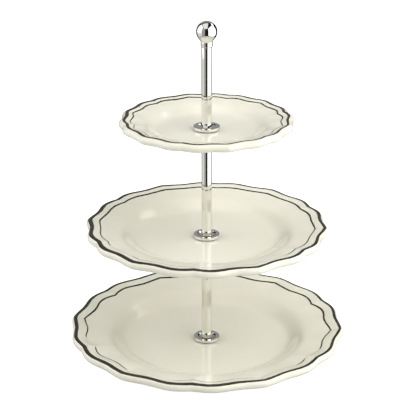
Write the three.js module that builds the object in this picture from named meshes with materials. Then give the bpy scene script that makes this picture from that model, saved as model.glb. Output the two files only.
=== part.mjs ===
// Three-tier cake stand: three scalloped faience plates, each drilled at its centre and clamped
// between soft rings on a polished stem. The stem is three rods joined end to end by studs, with
// a dished washer at the foot of each rod, a low screw underneath and a ball finial on top.
// Millimetres, +Z up. The origin is on the table, on the stem's axis.

import * as THREE from 'three';

// ---------------------------------------------------------------- driving dimensions

const GAP = 0.25;                  // air between two pieces that touch on the real stand
const TIER_RISE = 113;             // from one plate's floor to the next one's
const HANDLE_RISE = 97.5;          // from the top plate's floor to the middle of the ball

// A plate's rim radius is that of the painted line along its top edge, its depth runs from that
// line down to the floor, and its lip drops this far to the flange. The scallops' depth is a share
// of the radius, turn is the angle in degrees at which the plate happens to stand, and roll is how
// far the rounded edge reaches out past the line.
const PLATES = {
  bottom: {
    rimRadius: 134.0, depth: 18.9, lipDrop: 2.8, floor: 4.9, foot: 4.6,
    scallop: 0.010, turn: -6.0, roll: 3.5,
  },
  middle: {
    rimRadius: 115.5, depth: 14.9, lipDrop: 1.9, floor: 4.4, foot: 3.4,
    scallop: 0.013, turn: -6.0, roll: 3.5,
  },
  top: {
    rimRadius: 79.4, depth: 12.1, lipDrop: 2.0, floor: 4.0, foot: 3.0,
    scallop: 0.0125, turn: -15.8, roll: 5.0,
  },
};
const PLATE_HOLE_RADIUS = 4.2;

const ROD_RADIUS = 5.1;
const BALL_RADIUS = 10.13;
const COLLAR_RADIUS = 5.7;
const COLLAR_HEIGHT = 5.0;
const COLLAR_TOP_DROP = 9.7;       // from the middle of the ball down to the collar's top

const THREAD_RADIUS = 3.0;         // M6 threads, drawn plain
const TAPPED_RADIUS = 3.3;         // and the holes that take them
const RISING_GRIP = 8.0;           // thread that a rod or the finial unscrews from
const FIXED_GRIP = 10.0;           // thread that stays in the piece below
const TAPPED_SPARE = 1.5;          // empty hole past the thread's end

const WASHER_RADIUS = 13.0;
const WASHER_HEIGHT = 2.8;
const WASHER_RIM_WIDTH = 3.6;
const WASHER_SEAT = 1.0;           // thickness left under the rod's foot, in the dish
const UNDER_WASHER = { radius: 9.0, height: 1.0 };
const FOOT_WASHER = { radius: 10.0, height: 0.8 };
const GASKET = { radius: 12.2, height: 0.4 };
const FOOT_SCREW_HEAD = {
  radius: 6.5, height: 1.6, chamfer: 0.6, driverRadius: 2.2, driverDepth: 0.8,
};

const PLATE_SEGMENTS = 72;
const WASHER_SEGMENTS = 32;
const ROD_SEGMENTS = 24;
const SMALL_SEGMENTS = 20;

// ---------------------------------------------------------------- finishes

const GLAZE = new THREE.MeshStandardMaterial({ color: 0xe3dfcd, roughness: 0.12, metalness: 0 });
const POLISH = new THREE.MeshStandardMaterial({ color: 0xc9c9c7, roughness: 0.08, metalness: 1 });
const STEEL = new THREE.MeshStandardMaterial({ color: 0xa9abad, roughness: 0.35, metalness: 1 });
const VINYL = new THREE.MeshStandardMaterial({ color: 0xe8ebe6, roughness: 0.3, metalness: 0 });

const stand = new THREE.Group();

function addPiece(name, geometry, material) {
  const piece = new THREE.Mesh(geometry, material);
  piece.name = name;
  stand.add(piece);
  return piece;
}

// ---------------------------------------------------------------- round pieces

// Turns a profile of [radius, height] points about the stem's axis. The profile runs up the
// outside of the piece and closes on itself, or starts and ends on the axis.
function turned(profile, segments) {
  const points = profile.map(([radius, height]) => new THREE.Vector2(radius, height));
  const geometry = new THREE.LatheGeometry(points, segments);
  geometry.rotateX(Math.PI / 2);
  return geometry;
}

function ringProfile(innerRadius, outerRadius, bottom, height) {
  return [
    [innerRadius, bottom],
    [outerRadius, bottom],
    [outerRadius, bottom + height],
    [innerRadius, bottom + height],
    [innerRadius, bottom],
  ];
}

function addRing(name, outerRadius, bottom, height, segments, material) {
  const profile = ringProfile(TAPPED_RADIUS, outerRadius, bottom, height);
  return addPiece(name, turned(profile, segments), material);
}

// ---------------------------------------------------------------- plates

// The bracket-shaped outline, from -1 to 1, that repeats six times round a rim: a pointed lobe,
// a hollow on each side of it, a round shoulder, and a sharp notch half way to the next point.
function bracketWave(angle) {
  const repeat = THREE.MathUtils.radToDeg(angle) / 60;
  const fromPoint = Math.abs(repeat - Math.round(repeat)) * 60;
  const wave = Math.cos((fromPoint / 21.5) * 2 * Math.PI);
  const point = 0.5 * Math.exp(-fromPoint / 2);
  return wave + point;
}

const WELL_EDGE = 0.62;            // where the flat floor ends, as a share of the rim radius
const WELL_TOP = 0.735;            // where the well's wall meets the flange
const LIP_EDGE = 0.92;             // where the flange steepens into the lip
const FLANGE_FALL = 0.029;         // the flange's fall, as a share of the rim radius
const ROLL_HALF_HEIGHT = 4.2;      // of the rounded edge outside the painted line

function plateProfile(plate, floorTop) {
  const R = plate.rimRadius;
  const rim = floorTop + plate.depth;
  const lip = rim - plate.lipDrop;
  const wellTop = lip - FLANGE_FALL * R;
  const under = floorTop - plate.floor;
  const wall = plate.floor + 0.4;
  const rise = (share) => floorTop + (wellTop - floorTop) * (1 - Math.cos(share * Math.PI)) / 2;
  const across = (share) => R * (WELL_EDGE + (WELL_TOP - WELL_EDGE) * share);
  const rolledEdge = [-90, -45, 0, 30, 60, 90].map((degrees) => {
    const angle = THREE.MathUtils.degToRad(degrees);
    return [
      R + plate.roll * Math.cos(angle),
      rim + ROLL_HALF_HEIGHT * (Math.sin(angle) - 1),
    ];
  });
  return [
    [PLATE_HOLE_RADIUS, under],
    [0.560 * R, under],
    [0.575 * R, under - plate.foot],
    [0.610 * R, under - plate.foot],
    [0.635 * R, under - 0.2 * plate.foot],
    [WELL_TOP * R + 3, wellTop - wall],
    [LIP_EDGE * R + 2, lip - wall],
    ...rolledEdge,
    [LIP_EDGE * R, lip],
    [WELL_TOP * R, wellTop],
    [across(0.72), rise(0.72)],
    [across(0.45), rise(0.45)],
    [across(0.2), rise(0.2)],
    [WELL_EDGE * R, floorTop],
    [PLATE_HOLE_RADIUS, floorTop],
    [PLATE_HOLE_RADIUS, under],
  ];
}

// The scallops are full at the lip and die away over the flange, so the well stays round.
function plateGeometry(plate, floorTop) {
  const geometry = turned(plateProfile(plate, floorTop), PLATE_SEGMENTS);
  const position = geometry.attributes.position;
  for (let i = 0; i < position.count; i += 1) {
    const x = position.getX(i);
    const y = position.getY(i);
    const share = Math.hypot(x, y) / plate.rimRadius;
    const strength = plate.scallop * THREE.MathUtils.smoothstep(share, WELL_TOP, LIP_EDGE);
    const stretch = 1 + strength * bracketWave(Math.atan2(y, x));
    position.setXY(i, x * stretch, y * stretch);
  }
  geometry.rotateZ(THREE.MathUtils.degToRad(plate.turn));
  return geometry;
}

// ---------------------------------------------------------------- stem pieces

// A rod with a blind tapped hole in each end and small chamfers.
function addRod(name, bottom, top, bottomHole, topHole) {
  const chamfer = 0.4;
  const profile = [
    [0, bottom + bottomHole],
    [TAPPED_RADIUS, bottom + bottomHole],
    [TAPPED_RADIUS, bottom],
    [ROD_RADIUS - chamfer, bottom],
    [ROD_RADIUS, bottom + chamfer],
    [ROD_RADIUS, top - chamfer],
    [ROD_RADIUS - chamfer, top],
    [TAPPED_RADIUS, top],
    [TAPPED_RADIUS, top - topHole],
    [0, top - topHole],
  ];
  return addPiece(name, turned(profile, ROD_SEGMENTS), POLISH);
}

function addStud(name, bottom, top) {
  const chamfer = 0.6;
  const profile = [
    [0, bottom],
    [THREAD_RADIUS - chamfer, bottom],
    [THREAD_RADIUS, bottom + chamfer],
    [THREAD_RADIUS, top - chamfer],
    [THREAD_RADIUS - chamfer, top],
    [0, top],
  ];
  return addPiece(name, turned(profile, SMALL_SEGMENTS), STEEL);
}

// The washer is a thick disc: an upright side, a flat rim and a hollow that falls to the seat
// where the rod's foot stands.
function addDishWasher(name, bottom) {
  const chamfer = 0.3;
  const rimInner = WASHER_RADIUS - WASHER_RIM_WIDTH;
  const seatRadius = ROD_RADIUS + 0.4;
  const top = bottom + WASHER_HEIGHT;
  const seat = bottom + WASHER_SEAT;
  const hollow = [0.66, 0.33, 0].map((share) => [
    seatRadius + (rimInner - seatRadius) * share,
    seat + (top - seat) * (0.3 * share + 0.7 * share * share),
  ]);
  const profile = [
    [TAPPED_RADIUS, bottom],
    [WASHER_RADIUS - chamfer, bottom],
    [WASHER_RADIUS, bottom + chamfer],
    [WASHER_RADIUS, top - chamfer],
    [WASHER_RADIUS - chamfer, top],
    [rimInner, top],
    ...hollow,
    [TAPPED_RADIUS, seat],
    [TAPPED_RADIUS, bottom],
  ];
  return addPiece(name, turned(profile, WASHER_SEGMENTS), POLISH);
}

// ---------------------------------------------------------------- heights of the stack

const risingHole = RISING_GRIP + TAPPED_SPARE;
const fixedHole = FIXED_GRIP + TAPPED_SPARE;
const tiers = Object.entries(PLATES).map(([name, plate], index) => {
  const floorTop = PLATES.bottom.foot + PLATES.bottom.floor + index * TIER_RISE;
  const under = floorTop - plate.floor;
  const lowerGasket = under - GAP - GASKET.height;
  const upperGasket = floorTop + GAP;
  const dishWasher = upperGasket + GASKET.height + GAP;
  const rodFoot = dishWasher + WASHER_SEAT + GAP;
  return { name, plate, floorTop, lowerGasket, upperGasket, dishWasher, rodFoot };
});
const [bottomTier, middleTier, topTier] = tiers;

for (const tier of tiers) {
  const gasketSizes = [GASKET.height, SMALL_SEGMENTS, VINYL];
  addPiece(`${tier.name}_plate`, plateGeometry(tier.plate, tier.floorTop), GLAZE);
  addRing(`${tier.name}_plate_lower_gasket`, UNDER_WASHER.radius, tier.lowerGasket, ...gasketSizes);
  addRing(`${tier.name}_plate_upper_gasket`, GASKET.radius, tier.upperGasket, ...gasketSizes);
  addDishWasher(`${tier.name}_dish_washer`, tier.dishWasher);
}

// ---------------------------------------------------------------- rods, studs and finial

const middleUnderWasher = middleTier.lowerGasket - GAP - UNDER_WASHER.height;
const topUnderWasher = topTier.lowerGasket - GAP - UNDER_WASHER.height;
const lowerRodTop = middleUnderWasher - GAP;
const middleRodTop = topUnderWasher - GAP;
const ballMiddle = topTier.floorTop + HANDLE_RISE;
const collarTop = ballMiddle - COLLAR_TOP_DROP;
const collarBottom = collarTop - COLLAR_HEIGHT;
const upperRodTop = collarBottom - GAP;

addRod('lower_rod', bottomTier.rodFoot, lowerRodTop, fixedHole, fixedHole);
addRod('middle_rod', middleTier.rodFoot, middleRodTop, risingHole, fixedHole);
addRod('upper_rod', topTier.rodFoot, upperRodTop, risingHole, fixedHole);
for (const [name, bottom] of [['middle', middleUnderWasher], ['top', topUnderWasher]]) {
  const { radius, height } = UNDER_WASHER;
  addRing(`${name}_under_washer`, radius, bottom, height, SMALL_SEGMENTS, STEEL);
}
addStud('lower_joining_stud', lowerRodTop - FIXED_GRIP, middleTier.rodFoot + RISING_GRIP);
addStud('upper_joining_stud', middleRodTop - FIXED_GRIP, topTier.rodFoot + RISING_GRIP);
addStud('finial_stud', upperRodTop - RISING_GRIP, collarBottom + RISING_GRIP);

// Collar, straight neck that leaves the ball at a tangent, and ball.
function finialProfile() {
  const chamfer = 0.5;
  const reach = Math.hypot(COLLAR_RADIUS, COLLAR_TOP_DROP);
  const toCollar = Math.atan2(-COLLAR_TOP_DROP, COLLAR_RADIUS);
  const tangent = toCollar + Math.acos(BALL_RADIUS / reach);
  const steps = 14;
  const ball = [];
  for (let i = 0; i < steps; i += 1) {
    const angle = tangent + (Math.PI / 2 - tangent) * (i / steps);
    ball.push([BALL_RADIUS * Math.cos(angle), ballMiddle + BALL_RADIUS * Math.sin(angle)]);
  }
  return [
    [0, collarBottom + risingHole],
    [TAPPED_RADIUS, collarBottom + risingHole],
    [TAPPED_RADIUS, collarBottom],
    [COLLAR_RADIUS - chamfer, collarBottom],
    [COLLAR_RADIUS, collarBottom + chamfer],
    [COLLAR_RADIUS, collarTop],
    ...ball,
    [0, ballMiddle + BALL_RADIUS],
  ];
}

addPiece('finial', turned(finialProfile(), ROD_SEGMENTS), POLISH);

// ---------------------------------------------------------------- under the bottom plate

const footWasher = bottomTier.lowerGasket - GAP - FOOT_WASHER.height;
addRing('foot_washer', FOOT_WASHER.radius, footWasher, FOOT_WASHER.height, SMALL_SEGMENTS, STEEL);

// The low head is dished for the driver, so it stays clear of the table inside the foot ring.
function footScrewProfile(headTop, screwTop) {
  const { radius, height, driverRadius, driverDepth, chamfer } = FOOT_SCREW_HEAD;
  const headBottom = headTop - height;
  return [
    [0, headBottom + driverDepth],
    [driverRadius, headBottom + driverDepth],
    [driverRadius, headBottom],
    [radius - chamfer, headBottom],
    [radius, headBottom + chamfer],
    [radius, headTop],
    [THREAD_RADIUS, headTop],
    [THREAD_RADIUS, screwTop],
    [0, screwTop],
  ];
}

const footScrew = footScrewProfile(footWasher - GAP, bottomTier.rodFoot + FIXED_GRIP);
addPiece('foot_screw', turned(footScrew, SMALL_SEGMENTS), STEEL);

export default stand;
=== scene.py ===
"""A three-tier cake stand: three scalloped faience plates on a polished, screwed stem."""

import math

import bmesh
import bpy
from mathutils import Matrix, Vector


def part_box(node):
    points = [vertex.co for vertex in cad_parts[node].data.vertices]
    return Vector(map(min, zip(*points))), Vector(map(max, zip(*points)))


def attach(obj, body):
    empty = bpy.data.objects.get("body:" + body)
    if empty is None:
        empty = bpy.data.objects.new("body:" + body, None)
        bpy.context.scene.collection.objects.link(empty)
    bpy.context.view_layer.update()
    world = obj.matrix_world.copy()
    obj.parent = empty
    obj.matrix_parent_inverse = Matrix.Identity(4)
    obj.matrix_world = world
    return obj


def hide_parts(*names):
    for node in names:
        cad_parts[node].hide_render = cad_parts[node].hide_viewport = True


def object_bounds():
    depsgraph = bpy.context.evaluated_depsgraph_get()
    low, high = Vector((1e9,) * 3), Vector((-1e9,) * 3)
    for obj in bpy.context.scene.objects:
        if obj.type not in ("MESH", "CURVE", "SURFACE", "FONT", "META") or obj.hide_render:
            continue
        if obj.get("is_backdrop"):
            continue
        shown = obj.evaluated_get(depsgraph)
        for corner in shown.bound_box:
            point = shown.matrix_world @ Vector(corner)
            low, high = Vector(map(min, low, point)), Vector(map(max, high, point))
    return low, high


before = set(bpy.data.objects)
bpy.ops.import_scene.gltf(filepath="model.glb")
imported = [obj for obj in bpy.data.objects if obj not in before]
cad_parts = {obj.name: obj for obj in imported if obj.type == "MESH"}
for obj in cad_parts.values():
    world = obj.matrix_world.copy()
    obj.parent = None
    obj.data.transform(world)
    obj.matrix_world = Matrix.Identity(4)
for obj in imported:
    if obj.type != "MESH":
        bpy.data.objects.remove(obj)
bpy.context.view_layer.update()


# ------------------------------------------------------------------------------------------
# The plates. Dinner, dessert and side plate of one faience service, pressed in a mould that
# gives the rim its six brackets, glazed cream on all but the ring they stand on, and drilled.
# A brush line of manganese brown runs along the crest of the rim and a finer one inside it.

MM = 0.001
TRAYS = (("bottom", "base"), ("middle", "middle_tray"), ("top", "top_tray"))
GASKET_AIR = 0.25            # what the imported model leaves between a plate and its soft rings
HOLE_RADIUS = 4.2
HOLE_CHAMFER = 0.3
WELL_EDGE, WELL_TOP, LIP_EDGE = 0.625, 0.725, 0.92     # shares of the rim line's radius
FOOT_OUTER, FOOT_INNER = 0.601, 0.584                  # the same, of the ring it stands on
FLANGE_SLOPE = 0.155
MOULDED_STEP = 0.35          # the small step at the lip, and how far the crest settles again
CREST_HALF_HEIGHT = 4.2
BRACKET_PERIOD = 21.5        # degrees from one crest of the moulded wave to the next
CUSP_WIDTH = 1.8             # degrees over which a point or a notch of the rim fades
CREST_POINT, CREST_NOTCH = 0.5, 0.1
INNER_POINT, INNER_NOTCH = 1.0, 0.8
NO_PAINT = -0.4              # the width that leaves nothing of a line, not even its soft edge
RIM_STEPS = 600


def height_of(node, corner):
    """The lowest (0) or highest (1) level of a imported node, in millimetres."""
    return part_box(node)[corner].z / MM


def from_bracket_point(angle):
    """Degrees from the nearest of the six outward points of the rim, from 0 to 30."""
    turns = math.degrees(angle) / 60
    return abs(turns - round(turns)) * 60


def bracket_wave(angle, point, notch):
    """The moulded outline, from -1 to 1: a point, hollows beside it, round shoulders, a notch.
    The last two say how far the point is drawn out and the notch cut in."""
    away = from_bracket_point(angle)
    wave = math.cos(away / BRACKET_PERIOD * 2 * math.pi)
    drawn_out = point * math.exp(-away / CUSP_WIDTH)
    cut_in = notch * math.exp((away - 30) / CUSP_WIDTH)
    return wave + drawn_out - cut_in


def soft_ramp(distance, softness):
    """Zero below 0 and a straight ramp above, with a rounded bend of that softness between."""
    bend = max(-40.0, min(40.0, distance / softness))
    return softness * math.log1p(math.exp(bend)) if bend < 40 else distance


def ease(share):
    """A share held between 0 and 1, which starts and stops gently."""
    share = max(0.0, min(1.0, share))
    return share * share * (3 - 2 * share)


def plate_face(plate, radius):
    """Height of the plate's upper face over its floor, as three bends between straight slopes."""
    line = plate["line_radius"]
    lip_slope = plate["lip_drop"] / ((1 - LIP_EDGE) * line)
    flange = FLANGE_SLOPE * (LIP_EDGE - WELL_TOP) * line
    wall_slope = (plate["depth"] - plate["lip_drop"] - flange) / ((WELL_TOP - WELL_EDGE) * line)
    # where each bend lies, how much the slope grows there, and its softness in mm
    bends = (
        (WELL_EDGE, wall_slope, 2.2),
        (WELL_TOP, FLANGE_SLOPE - wall_slope, 2.6),
        (LIP_EDGE, lip_slope - FLANGE_SLOPE, 1.2),
    )
    slopes = sum(rise * soft_ramp(radius - share * line, soft) for share, rise, soft in bends)
    step = MOULDED_STEP * ease((radius - (LIP_EDGE * line - 0.9)) / 1.8)
    settle = MOULDED_STEP * ease((radius - 0.95 * line) / (0.05 * line))
    return slopes + step - settle


def plate_profile(plate, floor, foot):
    """The closed outline of a plate's wall, from the hole up over the rim and back under."""
    line = plate["line_radius"]
    rim_centre = line - 0.3
    crest = floor + plate["depth"]
    under = floor - plate["floor_thickness"]
    flat = [HOLE_RADIUS + (0.57 * line - HOLE_RADIUS) * i / 10 for i in range(11)]
    sloped = [0.57 * line + (rim_centre - 1.2 - 0.57 * line) * i / 44 for i in range(1, 45)]
    face = [(r, floor + plate_face(plate, r)) for r in flat + sloped]
    edge = []
    for i in range(1, 18):
        around = math.radians(90 - 10 * i)
        edge.append((
            rim_centre + plate["crest_half_width"] * math.cos(around),
            crest - CREST_HALF_HEIGHT + CREST_HALF_HEIGHT * math.sin(around),
        ))
    back = []
    for i in range(1, 25):
        radius = rim_centre - 2 + (0.665 * line - rim_centre + 2) * i / 24
        wall = plate["floor_thickness"] + 0.5 + 2.2 * ease((radius / line - 0.9) / 0.1)
        back.append((radius, floor + plate_face(plate, radius) - wall))
    ring = [
        (0.640 * line, under - 0.25 * (under - foot)),
        (0.615 * line, foot + 0.9),
        (0.608 * line, foot + 0.25),
        (FOOT_OUTER * line, foot),
        (FOOT_INNER * line, foot),
        (0.577 * line, foot + 0.25),
        (0.570 * line, foot + 0.9),
        (0.560 * line, under - 0.15),
        (0.550 * line, under),
        (0.300 * line, under),
    ]
    hole = [
        (HOLE_RADIUS + HOLE_CHAMFER, under),
        (HOLE_RADIUS, under + HOLE_CHAMFER),
        (HOLE_RADIUS, floor - HOLE_CHAMFER),
    ]
    return face, edge, back, ring, hole


def turn_on_axis(chain, steps, closed=False, sectors=1):
    """Spins a chain of (radius, height) points about the stem's axis into a bmesh. A fine one
    is spun as one sector, and then copied round, which takes far less time."""
    bm = bmesh.new()
    path = bm.verts.layers.float.new("path_mm")
    points = [bm.verts.new((radius * MM, 0, height * MM)) for radius, height in chain]
    walked = 0.0
    for before, point in zip([points[0]] + points, points):
        walked += (point.co - before.co).length / MM
        point[path] = walked
    edges = [bm.edges.new(pair) for pair in zip(points, points[1:])]
    if closed:
        edges.append(bm.edges.new((points[-1], points[0])))
    sector = 2 * math.pi / sectors
    bmesh.ops.spin(
        bm, geom=points + edges, cent=(0, 0, 0), axis=(0, 0, 1), dvec=(0, 0, 0),
        angle=sector, steps=steps // sectors, use_merge=sectors == 1,
    )
    if sectors > 1:
        bmesh.ops.spin(
            bm, geom=bm.verts[:] + bm.edges[:] + bm.faces[:], cent=(0, 0, 0), axis=(0, 0, 1),
            dvec=(0, 0, 0), angle=2 * math.pi - sector, steps=sectors - 1, use_duplicate=True,
        )
    bmesh.ops.remove_doubles(bm, verts=bm.verts, dist=0.0005 * MM)
    bmesh.ops.recalc_face_normals(bm, faces=bm.faces)
    return bm


def add_piece(name, bm, material, body, slot, *nodes):
    """Makes the bmesh a smooth-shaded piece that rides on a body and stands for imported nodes."""
    mesh = bpy.data.meshes.new(name)
    bm.to_mesh(mesh)
    bm.free()
    mesh.shade_smooth()
    mesh.set_sharp_from_angle(angle=math.radians(32))
    mesh.materials.append(material)
    piece = bpy.data.objects.new(name, mesh)
    bpy.context.scene.collection.objects.link(piece)
    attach(piece, body)
    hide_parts(*nodes)
    return piece


def linear(hex_colour):
    """An sRGB hex colour as the linear one that the shaders work in."""
    channels = [int(hex_colour[i:i + 2], 16) / 255 for i in (1, 3, 5)]
    light = [c / 12.92 if c <= 0.04045 else ((c + 0.055) / 1.055) ** 2.4 for c in channels]
    return (*light, 1.0)


def add_node(tree, kind, inputs=None, **settings):
    """Adds a node, sets its properties, and sets or links its inputs by name or number."""
    node = tree.nodes.new(kind)
    for setting, value in settings.items():
        setattr(node, setting, value)
    for socket, value in (inputs or {}).items():
        if isinstance(value, bpy.types.NodeSocket):
            tree.links.new(value, node.inputs[socket])
        else:
            node.inputs[socket].default_value = value
    return node


def new_material(name):
    """An empty node material and its Principled shader."""
    material = bpy.data.materials.new(name)
    material.use_nodes = True
    material.node_tree.nodes.clear()
    shader = add_node(material.node_tree, "ShaderNodeBsdfPrincipled")
    add_node(material.node_tree, "ShaderNodeOutputMaterial", {"Surface": shader.outputs[0]})
    return material, material.node_tree, shader


def brush_line(tree, path, middle, width, ragged):
    """1 on a painted line that lies middle mm along the profile, 0 off it, soft at its edges."""
    away = add_node(tree, "ShaderNodeMath", {0: path, 1: middle}, operation="SUBTRACT")
    shaken = add_node(tree, "ShaderNodeMath", {0: away.outputs[0], 1: ragged}, operation="ADD")
    size = add_node(tree, "ShaderNodeMath", {0: shaken.outputs[0]}, operation="ABSOLUTE")
    inside = add_node(
        tree, "ShaderNodeMath", {0: width, 1: size.outputs[0]}, operation="SUBTRACT"
    )
    return add_node(
        tree, "ShaderNodeMapRange",
        {"Value": inside.outputs[0], "From Min": -0.14, "From Max": 0.16},
        interpolation_type="SMOOTHSTEP",
    ).outputs[0]


def faience_glaze(name, crest_path, inner_path, foot_path):
    """Tin-white body under a warm transparent glaze, with the lines painted under the glaze:
    near-mirror gloss, a slow ripple from dipping, and a cream that varies a little in broad
    patches.
    The lines' edges follow the brush's hairs, and the brown is thinner where its load ran low."""
    material, tree, shader = new_material(name)
    place = add_node(tree, "ShaderNodeTexCoord").outputs["Object"]
    path = add_node(tree, "ShaderNodeAttribute", attribute_name="path_mm").outputs["Fac"]
    crest_width = add_node(tree, "ShaderNodeAttribute", attribute_name="crest_width_mm")
    inner_width = add_node(tree, "ShaderNodeAttribute", attribute_name="inner_width_mm")

    pooling = add_node(tree, "ShaderNodeTexNoise", {"Vector": place, "Scale": 1 / (70 * MM)})
    cream = add_node(
        tree, "ShaderNodeMix",
        {"Factor": pooling.outputs[0], 6: linear("#ebe9de"), 7: linear("#e7e4d8")},
        data_type="RGBA",
    )
    hairs = add_node(
        tree, "ShaderNodeTexNoise", {"Vector": place, "Scale": 1 / (5 * MM), "Detail": 3.0}
    )
    ragged = add_node(
        tree, "ShaderNodeMapRange", {"Value": hairs.outputs[0], "To Min": -0.35, "To Max": 0.35}
    ).outputs[0]
    crest = brush_line(tree, path, crest_path, crest_width.outputs["Fac"], ragged)
    inner = brush_line(tree, path, inner_path, inner_width.outputs["Fac"], ragged)
    lines = add_node(tree, "ShaderNodeMath", {0: crest, 1: inner}, operation="MAXIMUM")
    load = add_node(
        tree, "ShaderNodeTexNoise", {"Vector": place, "Scale": 1 / (18 * MM), "Detail": 2.0}
    )
    brown = add_node(
        tree, "ShaderNodeMix",
        {"Factor": load.outputs[0], 6: linear("#15120a"), 7: linear("#332e20")},
        data_type="RGBA",
    )
    painted = add_node(
        tree, "ShaderNodeMix",
        {"Factor": lines.outputs[0], 6: cream.outputs[2], 7: brown.outputs[2]},
        data_type="RGBA",
    )
    off_foot = add_node(tree, "ShaderNodeMath", {0: path, 1: foot_path}, operation="SUBTRACT")
    foot_away = add_node(tree, "ShaderNodeMath", {0: off_foot.outputs[0]}, operation="ABSOLUTE")
    bare = add_node(
        tree, "ShaderNodeMapRange",
        {"Value": foot_away.outputs[0], "From Min": 2.2, "From Max": 1.4},
    ).outputs[0]
    biscuit = add_node(
        tree, "ShaderNodeMix", {"Factor": bare, 6: painted.outputs[2], 7: linear("#d9c7a8")},
        data_type="RGBA",
    )
    gloss = add_node(tree, "ShaderNodeTexNoise", {"Vector": place, "Scale": 1 / (30 * MM)})
    sheen = add_node(
        tree, "ShaderNodeMapRange", {"Value": gloss.outputs[0], "To Min": 0.10, "To Max": 0.14}
    )
    rough = add_node(tree, "ShaderNodeMath", {0: bare, 1: 0.6}, operation="MULTIPLY")
    roughness = add_node(
        tree, "ShaderNodeMath", {0: sheen.outputs[0], 1: rough.outputs[0]}, operation="ADD"
    )
    ripple = add_node(
        tree, "ShaderNodeTexNoise", {"Vector": place, "Scale": 1 / (22 * MM), "Detail": 1.0}
    )
    waved = add_node(
        tree, "ShaderNodeBump", {"Height": ripple.outputs[0], "Strength": 1.0, "Distance": 0.1 * MM}
    )
    tree.links.new(biscuit.outputs[2], shader.inputs["Base Color"])
    tree.links.new(roughness.outputs[0], shader.inputs["Roughness"])
    tree.links.new(waved.outputs[0], shader.inputs["Normal"])
    return material


# Sizes in mm, places in degrees round the plate. The waves are how far the moulded outline
# swings, as shares of the radius, and crest_half_width is half that of the rounded edge. The
# outer brush line has half_width on each side and swells towards pressed_at, where the brush
# was pressed. The inner line has inner_half, and is gone where the painter lifted the brush.
PLATES = {
    "bottom": {
        "line_radius": 134.0, "depth": 18.9, "lip_drop": 2.8, "floor_thickness": 4.9,
        "crest_wave": 0.010, "inner_wave": 0.0145, "turn": -6.0, "crest_half_width": 3.8,
        "half_width": 1.75, "swell": 0.60, "pressed_at": 235, "inner_half": 0.85,
        "lifted": ((197, 202), (235, 253), (294, 311), (324, 330)),
    },
    "middle": {
        "line_radius": 115.5, "depth": 14.9, "lip_drop": 1.9, "floor_thickness": 4.4,
        "crest_wave": 0.013, "inner_wave": 0.0080, "turn": -6.0, "crest_half_width": 3.8,
        "half_width": 2.00, "swell": 0.45, "pressed_at": 210, "inner_half": 0.80,
        "lifted": ((213, 226), (300, 312)),
    },
    "top": {
        "line_radius": 79.4, "depth": 12.1, "lip_drop": 2.0, "floor_thickness": 4.0,
        "crest_wave": 0.0125, "inner_wave": 0.0160, "turn": -15.8, "crest_half_width": 5.3,
        "half_width": 1.55, "swell": 0.35, "pressed_at": 220, "inner_half": 0.65,
        "lifted": ((205, 212), (300, 312)),
    },
}


def add_plate(tier, plate, body):
    """Spins a plate, swings its rim into brackets, and marks the painted lines on it."""
    node = f"{tier}_plate"
    line = plate["line_radius"]
    floor = height_of(f"{node}_upper_gasket", 0) - GASKET_AIR
    foot = height_of(node, 0)
    face, edge, back, ring, hole = plate_profile(plate, floor, foot)
    bm = turn_on_axis(face + edge + back + ring + hole, RIM_STEPS, closed=True, sectors=6)

    path = bm.verts.layers.float["path_mm"]
    crest_width = bm.verts.layers.float.new("crest_width_mm")
    inner_width = bm.verts.layers.float.new("inner_width_mm")
    turn = math.radians(plate["turn"])
    crest_radius, inner_radius = line - 0.2, LIP_EDGE * line
    top_points = face + edge
    walked, crest_path, inner_path, foot_path = 0.0, 0.0, 0.0, 0.0
    chain = face + edge + back + ring
    for index, (before, point) in enumerate(zip([chain[0]] + chain, chain)):
        walked += math.dist(before, point)
        if index < len(top_points) and point[0] <= crest_radius:
            crest_path = walked + crest_radius - point[0]
        if index < len(face) and point[0] <= inner_radius:
            inner_path = walked + inner_radius - point[0]
        if point == ring[4]:
            foot_path = walked - (FOOT_OUTER - FOOT_INNER) / 2 * line
    for vertex in bm.verts:
        x, y, z = vertex.co
        angle = math.atan2(y, x) - turn
        share = math.hypot(x, y) / (line * MM)
        inner = plate["inner_wave"] * bracket_wave(angle, INNER_POINT, INNER_NOTCH)
        crest = plate["crest_wave"] * bracket_wave(angle, CREST_POINT, CREST_NOTCH)
        swing = ease((share - WELL_TOP) / (LIP_EDGE - WELL_TOP))
        over_lip = ease((share - LIP_EDGE) / (1 - LIP_EDGE))
        stretch = 1 + swing * inner + over_lip * (crest - inner)
        vertex.co = Vector((x * stretch, y * stretch, z))

        # both lines wander a little in width all round, and are thicker at the back
        degrees = math.degrees(math.atan2(y, x)) % 360
        pressed = plate["swell"] * math.cos(math.radians(degrees - plate["pressed_at"]))
        behind = max(0.0, math.sin(math.radians(degrees - 5)))
        drift = 0.18 * math.sin(math.radians(3 * degrees + 40))
        drift += 0.12 * math.sin(math.radians(7 * degrees))
        vertex[crest_width] = plate["half_width"] + pressed + 0.45 * behind * behind + drift
        landed = min(max(lift - degrees, degrees - land) for lift, land in plate["lifted"])
        loaded = ease(landed / 5)
        painted = plate["inner_half"] + 0.25 * behind + 0.6 * drift
        vertex[inner_width] = painted * loaded + NO_PAINT * (1 - loaded)
    material = faience_glaze(f"faience_glaze_{tier}", crest_path, inner_path, foot_path)
    add_piece(f"{tier}_plate_glazed", bm, material, body, "faience_glaze", node)


for tier, body in TRAYS:
    add_plate(tier, PLATES[tier], body)


# ------------------------------------------------------------------------------------------
# The soft rings. Clear vinyl, punched from sheet: one lies under each plate and one over it,
# so that the screwed stem can squeeze the glaze without cracking it. Only their edges show.

SOFT_RING_HOLE = 3.3
PUNCHED_EDGE = 0.12


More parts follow.
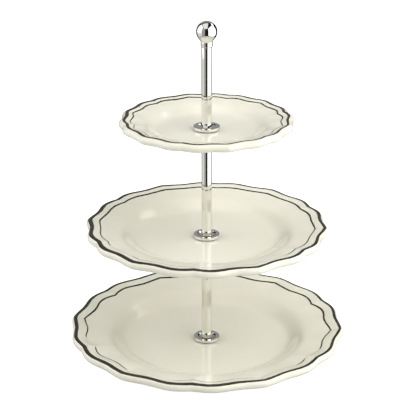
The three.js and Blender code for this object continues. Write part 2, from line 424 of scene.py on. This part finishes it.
def clear_vinyl():
    """Plasticised PVC: clear, slightly milky, soft gloss with faint rolling marks."""
    material, tree, shader = new_material("clear_vinyl_sheet")
    place = add_node(tree, "ShaderNodeTexCoord").outputs["Object"]
    marks = add_node(tree, "ShaderNodeTexNoise", {"Vector": place, "Scale": 1 / (1.5 * MM)})
    haze = add_node(
        tree, "ShaderNodeMapRange", {"Value": marks.outputs[0], "To Min": 0.18, "To Max": 0.32}
    )
    tree.links.new(haze.outputs[0], shader.inputs["Roughness"])
    shader.inputs["Base Color"].default_value = linear("#f1f3ee")
    shader.inputs["IOR"].default_value = 1.53
    shader.inputs["Transmission Weight"].default_value = 0.85
    return material


vinyl = clear_vinyl()
for tier, body in TRAYS:
    for side in ("lower", "upper"):
        node = f"{tier}_plate_{side}_gasket"
        low, high = (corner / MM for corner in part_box(node))
        ring = [
            (SOFT_RING_HOLE, low.z), (high.x - PUNCHED_EDGE, low.z),
            (high.x, low.z + PUNCHED_EDGE), (high.x, high.z - PUNCHED_EDGE),
            (high.x - PUNCHED_EDGE, high.z), (SOFT_RING_HOLE, high.z),
        ]
        bm = turn_on_axis(ring, 96, closed=True)
        add_piece(f"{tier}_{side}_soft_ring", bm, vinyl, body, "clear_vinyl", node)


# ------------------------------------------------------------------------------------------
# The rods. Turned from bar and plated, then buffed to a mirror; each is tapped at both ends,
# and its lower end is rounded so that it seats in the dished washer.

ROD_RADIUS = 5.1
ROD_FOOT_ROUND, ROD_HEAD_ROUND = 0.9, 0.3
TAPPED_RADIUS = 3.3
TAPPED_DEPTH, SHORT_TAPPED_DEPTH = 11.5, 9.5
DRILL_POINT = 1.5
COUNTERSINK = 0.35


def polished_plate():
    """Bright nickel-chrome over brass: a near mirror, a little warm, with a haze of buffing
    marks that run along the rod, and a faint change of tint where it has been wiped."""
    material, tree, shader = new_material("polished_nickel_chrome")
    place = add_node(tree, "ShaderNodeTexCoord").outputs["Object"]
    along = add_node(tree, "ShaderNodeMapping", {"Vector": place, "Scale": (1.0, 1.0, 0.12)})
    buffing = add_node(
        tree, "ShaderNodeTexNoise",
        {"Vector": along.outputs[0], "Scale": 1 / (1.2 * MM), "Detail": 4.0},
    )
    haze = add_node(
        tree, "ShaderNodeMapRange", {"Value": buffing.outputs[0], "To Min": 0.025, "To Max": 0.075}
    )
    wiped = add_node(tree, "ShaderNodeTexNoise", {"Vector": place, "Scale": 1 / (14 * MM)})
    tint = add_node(
        tree, "ShaderNodeMix",
        {"Factor": wiped.outputs[0], 6: linear("#ecebe8"), 7: linear("#e6e5df")},
        data_type="RGBA",
    )
    tree.links.new(tint.outputs[2], shader.inputs["Base Color"])
    tree.links.new(haze.outputs[0], shader.inputs["Roughness"])
    shader.inputs["Metallic"].default_value = 1.0
    return material


def arc(centre, radius, start, end, steps):
    """Points on an arc in the profile's plane, from one angle to the other, in degrees."""
    turned = [math.radians(start + (end - start) * i / steps) for i in range(steps + 1)]
    return [(centre[0] + radius * math.cos(a), centre[1] + radius * math.sin(a)) for a in turned]


def rod_profile(bottom, top, bottom_hole, top_hole):
    """Half the section of a rod, from the blind end of one tapped hole to that of the other."""
    foot_centre = (ROD_RADIUS - ROD_FOOT_ROUND, bottom + ROD_FOOT_ROUND)
    head_centre = (ROD_RADIUS - ROD_HEAD_ROUND, top - ROD_HEAD_ROUND)
    return [
        (0, bottom + bottom_hole),
        (TAPPED_RADIUS, bottom + bottom_hole - DRILL_POINT),
        (TAPPED_RADIUS, bottom + COUNTERSINK),
        (TAPPED_RADIUS + COUNTERSINK, bottom),
        *arc(foot_centre, ROD_FOOT_ROUND, -90, 0, 8),
        (ROD_RADIUS, bottom + 0.35 * (top - bottom)),
        (ROD_RADIUS, bottom + 0.65 * (top - bottom)),
        *arc(head_centre, ROD_HEAD_ROUND, 0, 90, 4),
        (TAPPED_RADIUS + COUNTERSINK, top),
        (TAPPED_RADIUS, top - COUNTERSINK),
        (TAPPED_RADIUS, top - top_hole + DRILL_POINT),
        (0, top - top_hole),
    ]


mirror = polished_plate()
for node, body, bottom_hole in (
    ("lower_rod", "stem", TAPPED_DEPTH),
    ("middle_rod", "middle_column", SHORT_TAPPED_DEPTH),
    ("upper_rod", "handle", SHORT_TAPPED_DEPTH),
):
    profile = rod_profile(height_of(node, 0), height_of(node, 1), bottom_hole, TAPPED_DEPTH)
    bm = turn_on_axis(profile, 128)
    add_piece(f"{node}_polished", bm, mirror, body, "polished_stem", node)


# ------------------------------------------------------------------------------------------
# The dished washers. One lies over each plate at the foot of a rod: a low cup turned from the
# same metal, with an upright rounded side, a flat rim and a mirror hollow for the rod's foot.

WASHER_RADIUS = 13.0
WASHER_RIM_WIDTH = 3.6
WASHER_LOWER_ROUND, WASHER_UPPER_ROUND = 0.45, 0.22
WASHER_SEAT = 1.0            # how thick it is under the rod
SEAT_CLEARANCE = 0.4         # how much wider its seat is than the rod
HOLLOW_STEPS = 16


def washer_profile(bottom, top):
    """The closed section of a dished washer, with a hollow that steepens towards its rim."""
    rim_inner = WASHER_RADIUS - WASHER_RIM_WIDTH
    seat_edge = ROD_RADIUS + SEAT_CLEARANCE
    seat = bottom + WASHER_SEAT
    lower_centre = (WASHER_RADIUS - WASHER_LOWER_ROUND, bottom + WASHER_LOWER_ROUND)
    upper_centre = (WASHER_RADIUS - WASHER_UPPER_ROUND, top - WASHER_UPPER_ROUND)
    hollow = []
    for i in range(1, HOLLOW_STEPS + 1):
        share = 1 - i / HOLLOW_STEPS
        hollow.append((
            seat_edge + (rim_inner - 0.15 - seat_edge) * share,
            seat + (top - 0.22 - seat) * (0.30 * share + 0.70 * share * share),
        ))
    return [
        (TAPPED_RADIUS, bottom),
        (WASHER_RADIUS - 0.6, bottom),
        *arc(lower_centre, WASHER_LOWER_ROUND, -90, 0, 6),
        *arc(upper_centre, WASHER_UPPER_ROUND, 0, 90, 6),
        (rim_inner, top - 0.08),
        *hollow,
        (TAPPED_RADIUS + 0.3, seat),
        (TAPPED_RADIUS, seat - 0.3),
    ]


for tier, body in (("bottom", "stem"), ("middle", "middle_seat"), ("top", "top_seat")):
    node = f"{tier}_dish_washer"
    bm = turn_on_axis(washer_profile(height_of(node, 0), height_of(node, 1)), 128, closed=True)
    add_piece(f"{node}_polished", bm, mirror, body, "polished_stem", node)


# ------------------------------------------------------------------------------------------
# The finial. Ball, straight neck and collar turned in one piece, buffed and plated with the
# rods, and screwed on top: it is the knob that the stand is lifted and carried by.

BALL_RADIUS = 10.13
COLLAR_RADIUS = 5.7
COLLAR_HEIGHT = 5.0
COLLAR_LOWER_ROUND, COLLAR_UPPER_ROUND = 0.6, 0.45


def finial_profile(bottom, top):
    """Half the section of the finial: its tapped hole, collar, straight neck and ball."""
    middle = top - BALL_RADIUS
    collar_top = bottom + COLLAR_HEIGHT
    drop = middle - collar_top
    reach = math.hypot(COLLAR_RADIUS, drop)
    tangent = math.degrees(math.atan2(-drop, COLLAR_RADIUS) + math.acos(BALL_RADIUS / reach))
    lower_centre = (COLLAR_RADIUS - COLLAR_LOWER_ROUND, bottom + COLLAR_LOWER_ROUND)
    upper_centre = (COLLAR_RADIUS - COLLAR_UPPER_ROUND, collar_top - COLLAR_UPPER_ROUND)
    return [
        (0, bottom + SHORT_TAPPED_DEPTH),
        (TAPPED_RADIUS, bottom + SHORT_TAPPED_DEPTH - DRILL_POINT),
        (TAPPED_RADIUS, bottom),
        (COLLAR_RADIUS - 0.7, bottom),
        *arc(lower_centre, COLLAR_LOWER_ROUND, -90, 0, 5),
        (COLLAR_RADIUS, bottom + 0.5 * COLLAR_HEIGHT),
        *arc(upper_centre, COLLAR_UPPER_ROUND, 0, 60, 4),
        *arc((0, middle), BALL_RADIUS, tangent, 90, 48),
    ]


bm = turn_on_axis(finial_profile(height_of("finial", 0), height_of("finial", 1)), 128)
add_piece("finial_polished", bm, mirror, "finial_knob", "polished_stem", "finial")


# ------------------------------------------------------------------------------------------
# The studs and the foot screw. M6 in plain steel, rolled thread, hidden while the stand is
# together: headless studs join rod to rod and hold the finial, and a low screw with a hexagon
# socket comes up through the bottom plate.

THREAD_PITCH = 1.0
THREAD_RADIUS = 3.0
THREAD_DEPTH = 0.55
THREAD_RUNOUT = 0.8          # over which the groove fades out at each end
THREAD_STEPS = 48
ROWS_PER_PITCH = 8
STUD_CHAMFER = 0.5


def rolled_steel():
    """Zinc-bright rolled steel: soft grey shine with turning marks round the axis, which are
    drawn coarser than real ones so that they show."""
    material, tree, shader = new_material("rolled_steel")
    place = add_node(tree, "ShaderNodeTexCoord").outputs["Object"]
    across = add_node(tree, "ShaderNodeMapping", {"Vector": place, "Scale": (0.15, 0.15, 1.0)})
    marks = add_node(
        tree, "ShaderNodeTexNoise",
        {"Vector": across.outputs[0], "Scale": 1 / (0.4 * MM), "Detail": 3.0},
    )
    worn = add_node(
        tree, "ShaderNodeMapRange", {"Value": marks.outputs[0], "To Min": 0.22, "To Max": 0.42}
    )
    grooves = add_node(
        tree, "ShaderNodeBump", {"Height": marks.outputs[0], "Strength": 0.4, "Distance": 0.02 * MM}
    )
    tree.links.new(worn.outputs[0], shader.inputs["Roughness"])
    tree.links.new(grooves.outputs[0], shader.inputs["Normal"])
    shader.inputs["Base Color"].default_value = linear("#b9babb")
    shader.inputs["Metallic"].default_value = 1.0
    return material


def shank_rows(bottom, top):
    """Points up the shank, close enough together for the thread to be cut into them."""
    rows = max(2, round((top - bottom) / THREAD_PITCH * ROWS_PER_PITCH))
    return [(THREAD_RADIUS, bottom + (top - bottom) * i / rows) for i in range(rows + 1)]


def cut_thread(bm, bottom, top):
    """Sinks a right-hand groove into the shank between two levels, fading out at its ends."""
    for vertex in bm.verts:
        x, y, z = vertex.co / MM
        radius = math.hypot(x, y)
        if abs(radius - THREAD_RADIUS) > 0.01 or not bottom <= z <= top:
            continue
        turn = z / THREAD_PITCH - math.atan2(y, x) / (2 * math.pi)
        groove = 1 - abs(2 * (turn - math.floor(turn)) - 1)
        fade = ease((z - bottom) / THREAD_RUNOUT) * ease((top - z) / THREAD_RUNOUT)
        sunk = 1 - THREAD_DEPTH * groove * fade / radius
        vertex.co = Vector((x * sunk, y * sunk, z)) * MM


steel = rolled_steel()
for node, body in (
    ("lower_joining_stud", "stem"),
    ("upper_joining_stud", "middle_column"),
    ("finial_stud", "finial_core"),
):
    bottom, top = height_of(node, 0), height_of(node, 1)
    profile = [
        (0, bottom),
        (THREAD_RADIUS - STUD_CHAMFER, bottom),
        *shank_rows(bottom + STUD_CHAMFER, top - STUD_CHAMFER),
        (THREAD_RADIUS - STUD_CHAMFER, top),
        (0, top),
    ]
    bm = turn_on_axis(profile, THREAD_STEPS)
    cut_thread(bm, bottom + STUD_CHAMFER, top - STUD_CHAMFER)
    add_piece(f"{node}_threaded", bm, steel, body, "plain_steel", node)

HEAD_RADIUS, HEAD_HEIGHT = 6.5, 1.6
HEAD_LOWER_ROUND, HEAD_UPPER_ROUND = 1.0, 0.2
SOCKET_HALF_FLATS = 2.0      # half the distance between two flats of the hexagon
SOCKET_DEPTH = 1.0
PLAIN_SHANK = 5.5            # what passes through the plate has no thread
head_bottom = height_of("foot_screw", 0)
screw_top = height_of("foot_screw", 1)
head_top = head_bottom + HEAD_HEIGHT
socket_floor = head_bottom + SOCKET_DEPTH
lower_centre = (HEAD_RADIUS - HEAD_LOWER_ROUND, head_bottom + HEAD_LOWER_ROUND)
upper_centre = (HEAD_RADIUS - HEAD_UPPER_ROUND, head_top - HEAD_UPPER_ROUND)
profile = [
    (0, socket_floor),
    (SOCKET_HALF_FLATS, socket_floor),
    (SOCKET_HALF_FLATS, head_bottom + 0.1),
    (SOCKET_HALF_FLATS + 0.3, head_bottom),
    (HEAD_RADIUS - 1.2, head_bottom),
    *arc(lower_centre, HEAD_LOWER_ROUND, -90, 0, 6),
    *arc(upper_centre, HEAD_UPPER_ROUND, 0, 90, 3),
    *shank_rows(head_top, screw_top - STUD_CHAMFER),
    (THREAD_RADIUS - STUD_CHAMFER, screw_top),
    (0, screw_top),
]
bm = turn_on_axis(profile, THREAD_STEPS)
cut_thread(bm, head_top + PLAIN_SHANK, screw_top - STUD_CHAMFER)
for vertex in bm.verts:
    x, y, z = vertex.co / MM
    if 1.0 < math.hypot(x, y) < SOCKET_HALF_FLATS + 0.5 and z < head_top - 0.1:
        sixth = (math.degrees(math.atan2(y, x)) + 30) % 60 - 30
        corner = 1 / math.cos(math.radians(sixth))
        vertex.co = Vector((x * corner, y * corner, z)) * MM
add_piece("foot_screw_socketed", bm, steel, "stem", "plain_steel", "foot_screw")


# ------------------------------------------------------------------------------------------
# The plain washers. Stamped steel discs that spread the load: one under the bottom plate, and
# one on the end of the lower and of the middle rod, which carries the plate above.

STAMPED_ROUND = 0.2

for node, body in (
    ("foot_washer", "stem"),
    ("middle_under_washer", "stem"),
    ("top_under_washer", "middle_column"),
):
    low, high = (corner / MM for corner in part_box(node))
    ring = [
        (TAPPED_RADIUS, low.z),
        *arc((high.x - STAMPED_ROUND, low.z + STAMPED_ROUND), STAMPED_ROUND, -90, 0, 3),
        *arc((high.x - STAMPED_ROUND, high.z - STAMPED_ROUND), STAMPED_ROUND, 0, 90, 3),
        (TAPPED_RADIUS, high.z),
    ]
    bm = turn_on_axis(ring, 96, closed=True)
    add_piece(f"{node}_stamped", bm, steel, body, "plain_steel", node)


# ------------------------------------------------------------------------------------------
# The studio. A white table that a lit white ground carries on, a tall soft light close on each
# side and one overhead, a key and fills that aren't mirrored, a small lamp behind, grey walls,
# and a black card before the camera, which shows as the dark stripe in the polished metal.

TABLE_RADIUS = 0.45
GROUND_RADIUS = 14.0
GROUND_DROP = 0.0005
GROUND_GLOW = 0.90


def lit_ground():
    """Matt white acrylic, lit from below just enough to burn out to white in the picture."""
    material, tree, shader = new_material("lit_white_ground")
    shader.inputs["Base Color"].default_value = linear("#bfbfbe")
    shader.inputs["Roughness"].default_value = 0.9
    shader.inputs["Specular IOR Level"].default_value = 0.2
    rays = add_node(tree, "ShaderNodeLightPath")
    glow = add_node(
        tree, "ShaderNodeMath",
        {0: rays.outputs["Is Camera Ray"], 1: GROUND_GLOW},
        operation="MULTIPLY",
    )
    tree.links.new(glow.outputs[0], shader.inputs["Emission Strength"])
    shader.inputs["Emission Color"].default_value = linear("#ffffff")
    return material


ground_material = lit_ground()


def add_ground(name, radius, level):
    """A disc of the lit white ground, at that level."""
    bm = bmesh.new()
    bmesh.ops.create_circle(bm, cap_ends=True, segments=96, radius=radius)
    bmesh.ops.translate(bm, verts=bm.verts, vec=(0, 0, level))
    mesh = bpy.data.meshes.new(name)
    bm.to_mesh(mesh)
    bm.free()
    mesh.materials.append(ground_material)
    ground = bpy.data.objects.new(name, mesh)
    bpy.context.scene.collection.objects.link(ground)
    ground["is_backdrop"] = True
    return ground


add_ground("white_table", TABLE_RADIUS, 0)
ground = add_ground("white_ground", GROUND_RADIUS, -GROUND_DROP)
ground.visible_glossy = False
ground.visible_shadow = False


def aim(thing, target):
    """Turns a light so that its face looks at the target."""
    thing.rotation_mode = "QUATERNION"
    thing.rotation_quaternion = (Vector(target) - thing.location).to_track_quat("-Z", "Y")


def add_softbox(name, place, target, size, glow, tint, lights=True, mirrored=True):
    """An area light whose face has that brightness, where 1 is the white of the picture. It
    lights the stand, is mirrored in it, or both."""
    light = bpy.data.lights.new(name, "AREA")
    light.shape = "RECTANGLE"
    light.size, light.size_y = size
    light.energy = glow * math.pi * size[0] * size[1]
    light.color = linear(tint)[:3]
    softbox = bpy.data.objects.new(name, light)
    softbox.location = place
    softbox.visible_camera = False
    softbox.visible_diffuse = lights
    softbox.visible_glossy = mirrored
    aim(softbox, target)
    bpy.context.scene.collection.objects.link(softbox)
    return softbox


add_softbox("right_softbox", (0.695, -0.28, 0.53), (0, 0, 0.53), (1.72, 1.66), 1.70, "#fffffd")
add_softbox("left_softbox", (-0.80, 0.02, 0.76), (0, 0, 0.76), (1.10, 1.20), 1.40, "#fcfcff")
add_softbox("left_low_panel", (-0.80, 0.02, -0.17), (0, 0, -0.17), (1.10, 0.66), 0.80, "#fbfaf6")
add_softbox(
    "overhead_softbox", (-0.38, -0.51, 1.9), (-0.38, -0.51, 0), (1.37, 2.40), 0.95, "#ffffff",
    lights=False,
)
add_softbox(
    "key_light", (0.80, -0.50, 1.30), (0, 0, 0.15), (1.20, 1.20), 1.60, "#fffffe",
    mirrored=False,
)
add_softbox(
    "left_fill", (-0.95, -0.10, 1.0), (0, 0, 0.1), (1.00, 1.00), 0.80, "#ffffff",
    mirrored=False,
)
add_softbox("grey_wall", (-0.64, -0.77, 0.45), (0, 0, 0.45), (0.76, 1.50), 0.40, "#f4f3ee")
add_softbox("rear_wall", (0, 1.25, 0.98), (0, 0, 0.24), (1.50, 1.20), 0.33, "#f4f4f2")
add_softbox(
    "rear_fill", (0, 1.25, 0.98), (0, 0, 0.24), (1.50, 1.20), 0.85, "#ffffff",
    mirrored=False,
)
add_softbox(
    "right_lamp", (0.80, 0.62, 1.12), (0, 0, 0.1), (0.60, 0.35), 2.3, "#ffffff",
    lights=False,
)
add_softbox(
    "overhead_fill", (0.1, 0.1, 3.2), (0, 0, 0), (2.6, 2.6), 0.40, "#ffffff",
    mirrored=False,
)

# the room: dim where it lights the stand, nearly black in mirrored metal, white to the camera
world = bpy.data.worlds.new("studio_room")
bpy.context.scene.world = world
world.use_nodes = True
world.node_tree.nodes.clear()
rays = add_node(world.node_tree, "ShaderNodeLightPath")
unlit = add_node(
    world.node_tree, "ShaderNodeMix",
    {"Factor": rays.outputs["Is Glossy Ray"], 6: linear("#8f8f83"), 7: linear("#1c1c1b")},
    data_type="RGBA",
)
walls = add_node(
    world.node_tree, "ShaderNodeMix",
    {"Factor": rays.outputs["Is Camera Ray"], 6: unlit.outputs[2], 7: linear("#ffffff")},
    data_type="RGBA",
)
lit = add_node(world.node_tree, "ShaderNodeBackground", {"Color": walls.outputs[2]})
add_node(world.node_tree, "ShaderNodeOutputWorld", {"Surface": lit.outputs[0]})

CARD_LOW, CARD_HIGH = 0.03, 0.75
CARD_HALF_WIDTH = 0.16
CARD_DISTANCE = 0.47
bm = bmesh.new()
bmesh.ops.create_grid(bm, x_segments=1, y_segments=1, size=1.0)
bmesh.ops.scale(bm, verts=bm.verts, vec=(CARD_HALF_WIDTH, (CARD_HIGH - CARD_LOW) / 2, 1.0))
card_mesh = bpy.data.meshes.new("black_card")
bm.to_mesh(card_mesh)
bm.free()
card_material, card_tree, card_shader = new_material("black_card_paper")
card_shader.inputs["Base Color"].default_value = linear("#0c0c0b")
card_shader.inputs["Roughness"].default_value = 1.0
card_mesh.materials.append(card_material)
card = bpy.data.objects.new("black_card", card_mesh)
card.location = (0.0, -CARD_DISTANCE, (CARD_LOW + CARD_HIGH) / 2)
card.rotation_euler = (math.radians(90), 0, 0)
card.visible_camera = False
card.visible_diffuse = False
card.visible_shadow = False
bpy.context.scene.collection.objects.link(card)
card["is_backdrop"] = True


# ------------------------------------------------------------------------------------------
# The camera. A long lens on a tall tripod, just under a metre and a half away, which looks
# down at the stand from twice its height.

LOOKING_DOWN = 21.36         # degrees below level

camera_data = bpy.data.cameras.new("camera")
camera_data.lens = 126.9
camera_data.shift_x = 0.0019
camera = bpy.data.objects.new("camera", camera_data)
camera.location = (0.0, -1.351, 0.6824)
camera.rotation_euler = (math.radians(90 - LOOKING_DOWN), 0, 0)
bpy.context.scene.collection.objects.link(camera)
bpy.context.scene.camera = camera
bpy.context.scene.view_settings.view_transform = "Standard"

low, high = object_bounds()
